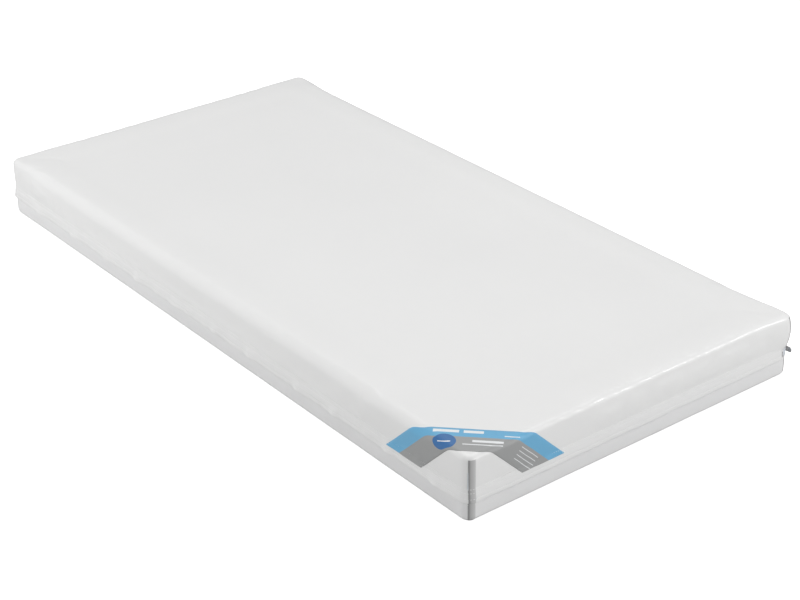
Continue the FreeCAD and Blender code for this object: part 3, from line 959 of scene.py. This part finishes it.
disc_long = math_node(tree, "POWER", math_node(tree, "SUBTRACT", along_label, DISC_ALONG), 2.0)
disc_wide = math_node(tree, "POWER", math_node(tree, "SUBTRACT", across_label, DISC_ACROSS), 2.0)
disc = math_node(tree, "LESS_THAN", math_node(tree, "ADD", disc_long, disc_wide), DISC_RADIUS**2)
outer_stripe = math_node(tree, "GREATER_THAN", across_label, LABEL_SPLIT)
ink = mix_node(tree, disc, mix_node(tree, outer_stripe, PRINT_GREY, PRINT_SKY), PRINT_NAVY)
white_bars = np.array([
    (-34, 61, 34, 6),
    (2, 61, 26, 6),
    (22, 40, 40, 5),
    (16, 32, 52, 2),
    (52, 55, 20, 2),
    (DISC_ALONG / MM, DISC_ACROSS / MM, 18, 2.4),
    *((92, 26 + 6 * line, 40, 0.9) for line in range(4)),
])
for white_bar in white_bars * MM:
    ink = mix_node(tree, bar(*white_bar.tolist()), ink, PRINT_WHITE)
weave = place_group(tree, cloth_grain, place, **{"Threads per metre": 1500.0})
aged = mix_node(tree, weave.outputs["Tone"], (0.8, 0.8, 0.8), (1.0, 1.0, 1.0))
aged_ink = mix_node(tree, 0.25, ink, aged, blend="MULTIPLY")
tree.links.new(aged_ink, shader.inputs["Base Color"])
bump(tree, shader, weave.outputs["Height"], 0.06 * MM)
finish(label, label_print, "upper_cover", "label_print", "corner_label")


# ---- Zip tapes -------------------------------------------------------------------------
# Two woven polyester tapes, sewn inside the two walls with a free edge each that carries a
# row of the coil. Behind the corner where the zip's ends meet, a cloth tab closes the gap.

TAPE_OUT = -1 * MM
TAB_OUT = -1.7 * MM
TAB_REACH = 5 * MM
WOVEN_THICK = 0.6 * MM
zip_start = 2 * MM
zip_end = around - turn - 2 * MM
zip_tape_cloth = cloth_material("Zip tape", (0.62, 0.62, 0.61), (0.7, 0.7, 0.69), 0.75, 1500.0, 0.15 * MM)


def zip_tape(side, body, wall_face):
    """A tape behind a wall: it stands straight, and its edge on the wall follows the cloth."""
    low, high = (corner.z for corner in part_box(f"zip_tape_{side}"))
    z = np.linspace(low, high, 9)
    along = steps_around()
    along = along[along < around - turn + 0.1 * MM]
    behind = np.minimum(0.9 * wall_face(along[None, :], z[:, None]), 0.6 * MM)
    wave = 0.12 * MM * ripple(along, 0.05, 61)[None, :]
    place, _ = outline(along[None, :], TAPE_OUT + behind - np.abs(wave))
    tape = join(f"zip_tape_woven_{side}", at_height(place, z[:, None]))
    thicken(tape, WOVEN_THICK, -1)
    finish(tape, zip_tape_cloth, body, "zip_tape", f"zip_tape_{side}")


zip_tape("upper", "upper_cover", lambda along, z: wall_push(along, z) * smooth(z, hem, hem + 3 * MM))
zip_tape("lower", "core_and_base", lambda along, z: base_push(along, z) * (z < base_top))

tab_low, tab_high = (corner.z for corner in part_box("zip_end_tab"))
tab_along = np.linspace(around - turn - TAB_REACH, around + TAB_REACH, 40)
tab_z = np.linspace(tab_low, tab_high, 16)
from_mouth = np.abs(tab_along - corner_mouth)
tab_out = np.full((16, 40), TAB_OUT) - 0.3 * MM * smooth(from_mouth, 8 * MM, 14 * MM)
tab_place, _ = outline(tab_along[None, :], tab_out)
tab = join("zip_end_cloth_tab", at_height(tab_place, tab_z[:, None]))
thicken(tab, WOVEN_THICK, -1)
finish(tab, base_cloth, "core_and_base", "base_cloth", "zip_end_tab")


# ---- Zip coil --------------------------------------------------------------------------
# Two rows of nylon monofilament, each wound into a flattened coil and sewn to its tape. The
# loops of the two rows alternate, and their heads reach past each other when it is closed.

COIL_PITCH = 2 * MM
FILAMENT = 0.36 * MM
COIL_STEPS = 10
COIL_SIDES = 5
HEAD_REACH = 0.55 * MM
coil_turns = int((zip_end - zip_start) / COIL_PITCH) - 2
coil_plastic, tree, shader, place = new_material("Coil nylon", 0.3)
coil_tone = noise_node(tree, place, 40.0, 2.0)
tint(tree, shader, coil_tone, (0.66, 0.66, 0.65), (0.76, 0.76, 0.75))


def unit(vectors):
    """Vectors of the same direction and length 1."""
    return vectors / np.linalg.norm(vectors, axis=1, keepdims=True)


def coil_row(side, body, facing):
    """A tube along a flattened helix. Round its own axis the helix goes out and in by one
    half-axis and up and down by the other, and it moves one pitch along for each turn. The
    tube's section turns with the helix: one axis points away from the helix's axis."""
    low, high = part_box(f"zip_coil_{side}")
    centre_z = (low.z + high.z) / 2 + facing * HEAD_REACH / 2
    half_tall = (high.z - low.z) / 2 + HEAD_REACH / 2 - FILAMENT
    half_deep = 1 * MM - FILAMENT
    angle = np.arange(coil_turns * COIL_STEPS + 1) * 2 * math.pi / COIL_STEPS
    lag = 0 if side == "lower" else COIL_PITCH / 2
    along = zip_start + COIL_PITCH + lag + angle / (2 * math.pi) * COIL_PITCH
    wound = angle if side == "lower" else angle + math.pi
    place, away = outline(along, half_deep * np.sin(wound))
    path = at_height(place, centre_z + half_tall * np.cos(wound))
    radial = at_height(np.sin(wound)[:, None] / half_deep * away, np.cos(wound) / half_tall)
    ahead = unit(np.gradient(path, axis=0))
    radial = unit(radial - np.sum(radial * ahead, axis=1, keepdims=True) * ahead)
    beside = np.cross(ahead, radial)
    section = (np.arange(COIL_SIDES + 1) * 2 * math.pi / COIL_SIDES)[:, None]
    spokes = np.cos(section) * radial[:, None, :] + np.sin(section) * beside[:, None, :]
    spine = np.repeat(path[:, None, :], COIL_SIDES + 1, axis=1)
    tube = np.concatenate([spine[:1], spine + FILAMENT * spokes, spine[-1:]])
    coil = join(f"zip_coil_row_{side}", tube)
    finish(coil, coil_plastic, body, "zip_coil", f"zip_coil_{side}")


coil_row("upper", "upper_cover", -1)
coil_row("lower", "core_and_base", 1)


# ---- Slider, puller and stops ----------------------------------------------------------
# Die-cast zinc, plated with nickel. The slider's two plates hold the coil, an arch on the
# outer plate carries the pull tab, and crimped stops end each row.

metal_wear, wear_in, wear_out = new_group(
    "Plated metal wear",
    [("Vector", "Place", None), ("Float", "Scratches per metre", 900.0)],
    [("Float", "Tone"), ("Float", "Roughness")],
)
haze = noise_node(metal_wear, wear_in.outputs["Place"], 260.0, 4.0)
scratch = metal_wear.nodes.new("ShaderNodeTexNoise")
scratch.inputs["Detail"].default_value = 5.0
scratch.inputs["Distortion"].default_value = 0.6
metal_wear.links.new(wear_in.outputs["Place"], scratch.inputs["Vector"])
metal_wear.links.new(wear_in.outputs["Scratches per metre"], scratch.inputs["Scale"])
metal_wear.links.new(haze, wear_out.inputs["Tone"])
rough = math_node(metal_wear, "MULTIPLY_ADD", scratch.outputs["Fac"], 0.3, 0.14)
metal_wear.links.new(rough, wear_out.inputs["Roughness"])

nickel, tree, shader, place = new_material("Plated zinc", 0.28)
shader.inputs["Metallic"].default_value = 1.0
worn = place_group(tree, metal_wear, place, **{"Scratches per metre": 1100.0})
tint(tree, shader, worn.outputs["Tone"], (0.42, 0.42, 0.43), (0.66, 0.66, 0.66))
tree.links.new(worn.outputs["Roughness"], shader.inputs["Roughness"])
for metal_node in ("zip_stops_upper", "zip_stops_lower", "slider_body", "slider_bridge", "puller_tab"):
    for material_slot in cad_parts[metal_node].material_slots:
        material_slot.material = nickel


# ---- Stitching -------------------------------------------------------------------------
# White polyester lockstitch: a twin row that holds the flap and the zip tape to the upper
# cover, a row along the flap's hem, and one that holds the lower tape to the lower cover.

STITCH_PITCH = 3.4 * MM
STITCH_LENGTH = 2.7 * MM
THREAD = 0.28 * MM
STITCH_RINGS = 6
STITCH_SIDES = 5
TWIN_LEVELS = (hem + 6.1 * MM, hem + 0.9 * MM)
HEM_STITCH_LEVEL = flap_bottom + HEM_WIDTH
TAPE_STITCH_LEVEL = base_top - 4.5 * MM
STITCH_STAND = 0.2 * MM
STITCH_DIVE = 0.5 * MM


def stitches(name, along_first, along_last, level, face, drop, body):
    """Short threads along a seam. Each is a tube of five sides whose middle stands proud of
    the cloth by its own radius, and whose two ends dive under the face, pulled to a point."""
    count = int((along_last - along_first) / STITCH_PITCH)
    start = along_first + (np.arange(count) + 0.5) * STITCH_PITCH
    share = np.linspace(-1, 1, STITCH_RINGS)
    section = np.arange(STITCH_SIDES) * 2 * math.pi / STITCH_SIDES
    along = start[:, None, None] + share[None, :, None] * STITCH_LENGTH / 2
    thick = THREAD * np.sqrt(1 - 0.96 * share**2)[None, :, None]
    stand = (STITCH_STAND - STITCH_DIVE * share**4)[None, :, None]
    out = face(along, np.full_like(along, level)) + stand + thick * np.cos(section)
    z = level - drop(along, np.full_like(along, level)) + thick * np.sin(section)
    place, _ = outline(along, out)
    points = at_height(place, z)
    index = np.arange(out.size).reshape(out.shape)
    after = np.roll(index, -1, axis=2)
    quads = np.stack([index[:, :-1], after[:, :-1], after[:, 1:], index[:, 1:]], axis=-1)
    faces = quads.reshape(-1, 4).tolist() + index[:, 0, ::-1].tolist() + index[:, -1].tolist()
    mesh = bpy.data.meshes.new(name)
    mesh.from_pydata(points.reshape(-1, 3).tolist(), [], faces)
    mesh.polygons.foreach_set("use_smooth", np.ones(len(mesh.polygons), bool))
    piece = bpy.data.objects.new(name, mesh)
    bpy.context.collection.objects.link(piece)
    piece.data.materials.append(thread)
    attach(piece, body)


thread, tree, shader, place = new_material("White thread", 0.6, sheen=0.3)
twist = noise_node(tree, place, 900.0, 2.0)
tint(tree, shader, twist, (0.78, 0.78, 0.78), (0.92, 0.92, 0.92))


def over_tapes(along, z):
    """The flap's outer face, or a corner tape's where one lies over the flap."""
    middles = np.array(list(corner_places.values()))
    gap = np.min(np.abs(along[..., None] - middles), axis=-1)
    return flap_out(along, z) + TAPE_THICK * smooth(-gap, -0.55 * TAPE_WIDTH, -0.45 * TAPE_WIDTH)


flap_first, flap_last = flap_start + 1 * MM, flap_end - 1 * MM
back_first, back_last = 1 * MM, flap_start - 6 * MM
flap_rows = [("twin_stitches_1", TWIN_LEVELS[0]), ("twin_stitches_2", TWIN_LEVELS[1])]
for name, level in [*flap_rows, ("hem_stitches", HEM_STITCH_LEVEL)]:
    stitches(name, flap_first, flap_last, level, over_tapes, flap_drop, "upper_cover")
for number, level in enumerate(TWIN_LEVELS, start=1):
    seam_name = f"back_seam_stitches_{number}"
    stitches(seam_name, back_first, back_last, level, on_cover, still, "upper_cover")
tape_last = around - turn - 1 * MM
stitches("tape_stitches", 1 * MM, tape_last, TAPE_STITCH_LEVEL, base_push, still, "core_and_base")


# ---- Studio ----------------------------------------------------------------------------
# A pale floor without edges, one large soft light overhead, and light from all round. The
# camera stands before the right front corner and looks down at it.

FLOOR_HALF = 30.0
FLOOR_GLOW = 0.85
AMBIENT = 0.5
floor_line = np.linspace(-1, 1, 5) * FLOOR_HALF
floor_place = np.stack(np.meshgrid(floor_line, floor_line), axis=-1)
floor = join("studio_floor", at_height(floor_place, 0.0))
floor_paint, tree, shader, place = new_material("Studio floor", 0.9)
floor_tone = noise_node(tree, place, 0.5, 1.0)
tint(tree, shader, floor_tone, (0.6, 0.6, 0.6), (0.62, 0.62, 0.62))
shader.inputs["Specular IOR Level"].default_value = 0.0
shader.inputs["Emission Color"].default_value = (1, 1, 1, 1)
floor_seen = tree.nodes.new("ShaderNodeLightPath").outputs["Is Camera Ray"]
floor_glow = math_node(tree, "MULTIPLY", floor_seen, FLOOR_GLOW)
tree.links.new(floor_glow, shader.inputs["Emission Strength"])
floor.data.materials.append(floor_paint)


def soft_light(name, place, look_at, size, power, mirrored=True):
    """A square area light that faces a point. One that isn't mirrored makes no highlights."""
    lamp = bpy.data.lights.new(name, "AREA")
    lamp.size = size
    lamp.energy = power
    lamp_object = bpy.data.objects.new(name, lamp)
    lamp_object.location = place
    lamp_object.visible_glossy = mirrored
    direction = np.array(look_at) - np.array(place)
    lamp_object.rotation_euler = Vector(direction.tolist()).to_track_quat("-Z", "Y").to_euler()
    bpy.context.collection.objects.link(lamp_object)


soft_light("overhead_softbox", (-0.1, 0.3, 2.2), (0, 0, 0), 2.2, 22)
soft_light("front_softbox", (-1.1, -2.3, 0.8), (-0.5, -0.3, 0.05), 1.3, 27, mirrored=False)
soft_light("end_softbox", (3.0, 0.7, 0.7), (0.6, 0.1, 0.05), 1.2, 20)
soft_light("edge_softbox", (2.07, 1.75, 1.38), (0.6, 0.2, 0.1), 0.4, 10)

world = bpy.data.worlds.new("Studio light")
bpy.context.scene.world = world
world.use_nodes = True
backdrop = world.node_tree.nodes["Background"]
backdrop.inputs["Color"].default_value = (1, 1, 1, 1)
world_seen = world.node_tree.nodes.new("ShaderNodeLightPath").outputs["Is Camera Ray"]
backdrop_strength = math_node(world.node_tree, "MULTIPLY_ADD", world_seen, 1 - AMBIENT, AMBIENT)
world.node_tree.links.new(backdrop_strength, backdrop.inputs["Strength"])
bpy.context.scene.view_settings.view_transform = "Standard"

CAMERA_PLACE = (2.1095, -1.5755, 1.3827)
CAMERA_AZIMUTH = math.radians(52.17)
CAMERA_ELEVATION = math.radians(28.16)
CAMERA_ROLL = math.radians(-0.76)
camera_data = bpy.data.cameras.new("camera")
camera_data.lens = 84.86
camera_data.sensor_width = 36
camera = bpy.data.objects.new("camera", camera_data)
camera.location = CAMERA_PLACE
upright = Euler((math.pi / 2 - CAMERA_ELEVATION, 0, CAMERA_AZIMUTH)).to_matrix()
camera.rotation_euler = (upright @ Matrix.Rotation(CAMERA_ROLL, 3, "Z")).to_euler()
bpy.context.collection.objects.link(camera)
bpy.context.scene.camera = camera
